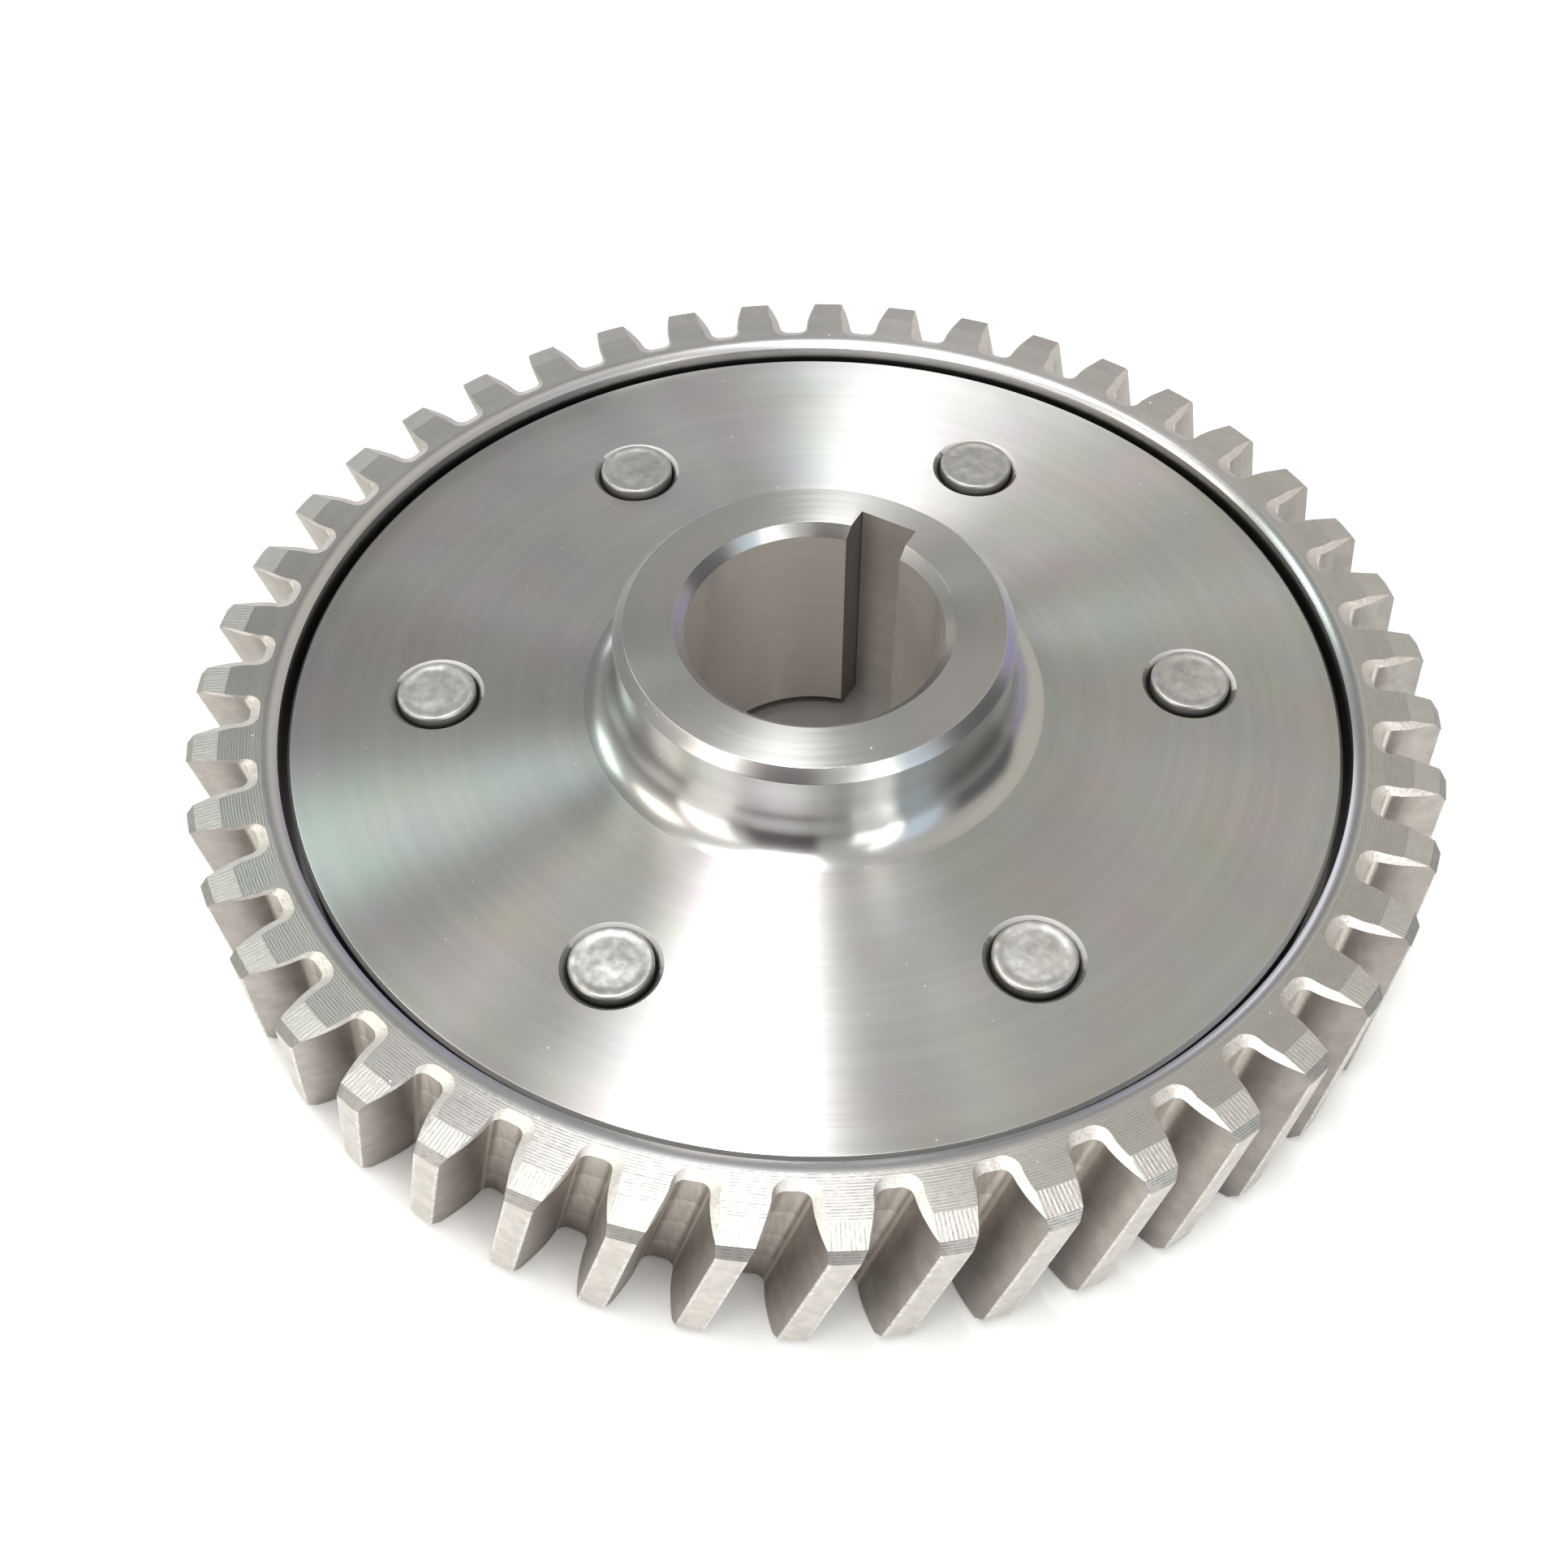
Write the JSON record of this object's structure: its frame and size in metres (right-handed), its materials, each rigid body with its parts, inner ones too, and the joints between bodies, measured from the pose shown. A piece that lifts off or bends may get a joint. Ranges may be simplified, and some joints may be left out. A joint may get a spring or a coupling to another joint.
{
  "type": "balance shaft gear",
  "caption": "Helical gear ring riveted to a recessed disc with a raised, bored and keyed hub, for driving a balance shaft.",
  "frame": {"origin": "centre of the gear's flat back face, on the bore's axis", "axes": "+Z along the bore towards the hub's nose, +Y through the middle of the keyway"},
  "size_m": [0.098, 0.098, 0.0207],
  "materials": {
    "ring_steel": "hobbed and turned",
    "hub_steel": "fine turned",
    "rivet_steel": "upset and wiped"
  },
  "bodies": {
    "root": {"toothed_ring": "ring_steel", "hub_flange": "hub_steel", "rivet_1": "rivet_steel", "rivet_2": "rivet_steel", "rivet_3": "rivet_steel", "rivet_4": "rivet_steel", "rivet_5": "rivet_steel", "rivet_6": "rivet_steel"}
  },
  "joints": []
}
